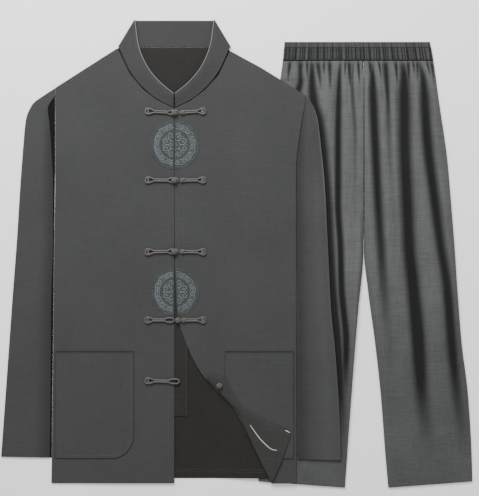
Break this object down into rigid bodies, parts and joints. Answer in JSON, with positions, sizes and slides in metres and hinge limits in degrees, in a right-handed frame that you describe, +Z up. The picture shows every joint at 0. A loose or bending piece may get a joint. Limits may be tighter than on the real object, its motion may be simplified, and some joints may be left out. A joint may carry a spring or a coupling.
{
  "type": "tai chi uniform laid flat",
  "caption": "Long-sleeved jacket with stand collar, frog buttons and patch pockets, laid flat over wide trousers with a gathered waist.",
  "frame": {"origin": "centre of the laid-out set, on the surface that it lies on", "axes": "+Z up from the surface towards the viewer, +Y towards the collar and the waistband, +X across from the jacket to the trousers"},
  "size_m": [0.9422, 0.9335, 0.0166],
  "materials": {
    "jacket_cloth": "matte slubbed linen weave, dark grey",
    "jacket_inside": "matte weave, very dark warm grey inside",
    "collar_cloth": "matte weave with an edge stitch",
    "frog_cord": "soft sheen of a rolled cloth cord",
    "trouser_cloth": "matte weave, slightly lighter grey"
  },
  "bodies": {
    "root": {"jacket_back": "jacket_inside", "jacket_front_right": "jacket_cloth", "jacket_front_left": "jacket_cloth", "front_left_turned_corner": "jacket_inside", "under_placket": "jacket_inside", "pocket_right": "jacket_cloth", "pocket_left": "jacket_cloth", "sleeve_right_under": "jacket_cloth", "sleeve_right_upper": "jacket_cloth", "sleeve_left_under": "jacket_cloth", "sleeve_left_upper": "jacket_cloth", "collar": "collar_cloth", "frog_loop_1": "frog_cord", "frog_loop_2": "frog_cord", "frog_loop_3": "frog_cord", "frog_loop_4": "frog_cord", "frog_loop_5": "frog_cord", "frog_tail_1": "frog_cord", "frog_tail_2": "frog_cord", "frog_tail_3": "frog_cord", "frog_tail_4": "frog_cord", "frog_knot_1": "frog_cord", "frog_knot_2": "frog_cord", "frog_knot_3": "frog_cord", "frog_knot_4": "frog_cord", "frog_knot_5": "frog_cord", "trousers_front_left": "trouser_cloth", "trousers_front_right": "trouser_cloth", "trousers_back_left": "trouser_cloth", "trousers_back_right": "trouser_cloth", "waistband_front": "trouser_cloth", "waistband_back": "trouser_cloth"}
  },
  "joints": []
}
